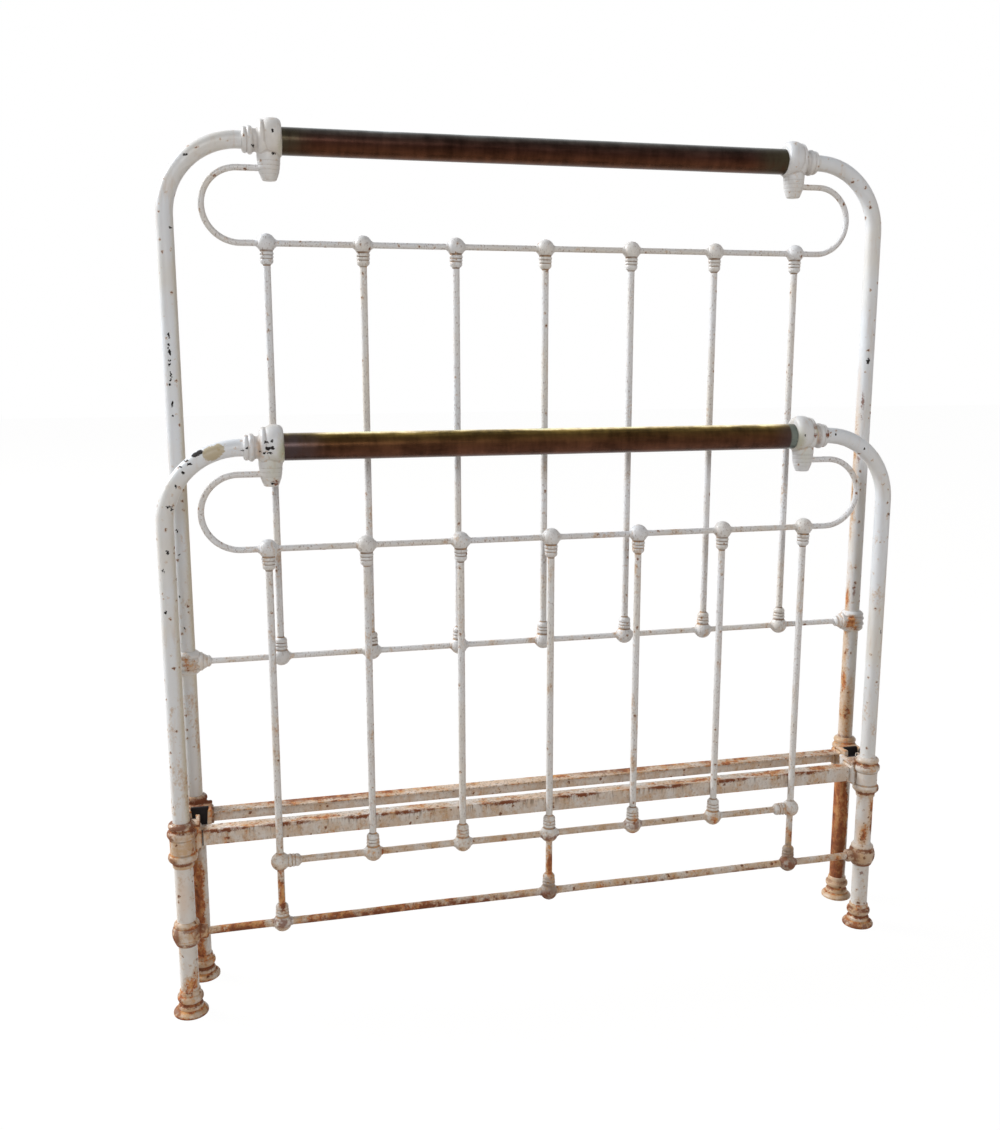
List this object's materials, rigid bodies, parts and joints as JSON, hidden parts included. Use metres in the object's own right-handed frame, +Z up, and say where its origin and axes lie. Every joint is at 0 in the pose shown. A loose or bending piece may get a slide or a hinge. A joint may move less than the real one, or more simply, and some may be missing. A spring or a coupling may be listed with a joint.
{
  "type": "brass and iron bed",
  "caption": "Bedstead of a tall head end and a low foot end: bent tube posts, brass top rails, cast joints, spindles, angle-iron end rails and side-rail sockets.",
  "frame": {"origin": "on the floor, midway between the head end and the foot end, across and along", "axes": "+Z up, +Y from the foot end to the head end, +X to the right as seen from in front of the foot end"},
  "size_m": [1.457, 0.193, 1.599],
  "materials": {
    "paint": "aged white gloss paint on iron, chipped to dark metal in places",
    "shaded_paint": "aged cream paint on iron, stained and lightly rusted",
    "rusty_paint": "worn cream paint on iron, with orange-brown rust coming through",
    "brass": "dark tarnished brass with a golden sheen where it is worn",
    "iron": "bare dark iron, hidden inside the brass"
  },
  "bodies": {
    "root": {"footboard_post_left": "paint", "footboard_leg_left": "rusty_paint", "footboard_rail_casting_left": "paint", "footboard_corner_casting_left": "rusty_paint", "footboard_foot_casting_left": "rusty_paint", "footboard_post_right": "paint", "footboard_leg_right": "rusty_paint", "footboard_rail_casting_right": "paint", "footboard_corner_casting_right": "rusty_paint", "footboard_foot_casting_right": "rusty_paint", "footboard_brass_rail": "brass", "footboard_rail_core": "iron", "footboard_loop_rod": "paint", "footboard_angle_iron": "rusty_paint", "footboard_spindle_1": "paint", "footboard_spindle_2": "paint", "footboard_spindle_3": "paint", "footboard_spindle_4": "paint", "footboard_spindle_5": "paint", "footboard_spindle_6": "paint", "footboard_spindle_7": "paint", "headboard_post_left": "paint", "headboard_leg_left": "rusty_paint", "headboard_rail_casting_left": "paint", "headboard_corner_casting_left": "rusty_paint", "headboard_foot_casting_left": "rusty_paint", "headboard_post_right": "paint", "headboard_leg_right": "rusty_paint", "headboard_rail_casting_right": "paint", "headboard_corner_casting_right": "rusty_paint", "headboard_foot_casting_right": "rusty_paint", "headboard_brass_rail": "brass", "headboard_rail_core": "iron", "headboard_loop_rod": "paint", "headboard_angle_iron": "rusty_paint", "headboard_spindle_1": "paint", "headboard_spindle_2": "paint", "headboard_spindle_3": "paint", "headboard_spindle_4": "paint", "headboard_spindle_5": "paint", "headboard_spindle_6": "paint", "headboard_spindle_7": "paint", "footboard_stub_1": "shaded_paint", "footboard_stub_2": "shaded_paint", "footboard_stub_3": "shaded_paint", "footboard_lower_rod": "shaded_paint", "footboard_bottom_rod": "rusty_paint", "footboard_bottom_casting_left": "rusty_paint", "footboard_bottom_casting_right": "rusty_paint", "headboard_mid_rod": "shaded_paint", "headboard_mid_casting_left": "paint", "headboard_mid_casting_right": "paint"}
  },
  "joints": []
}
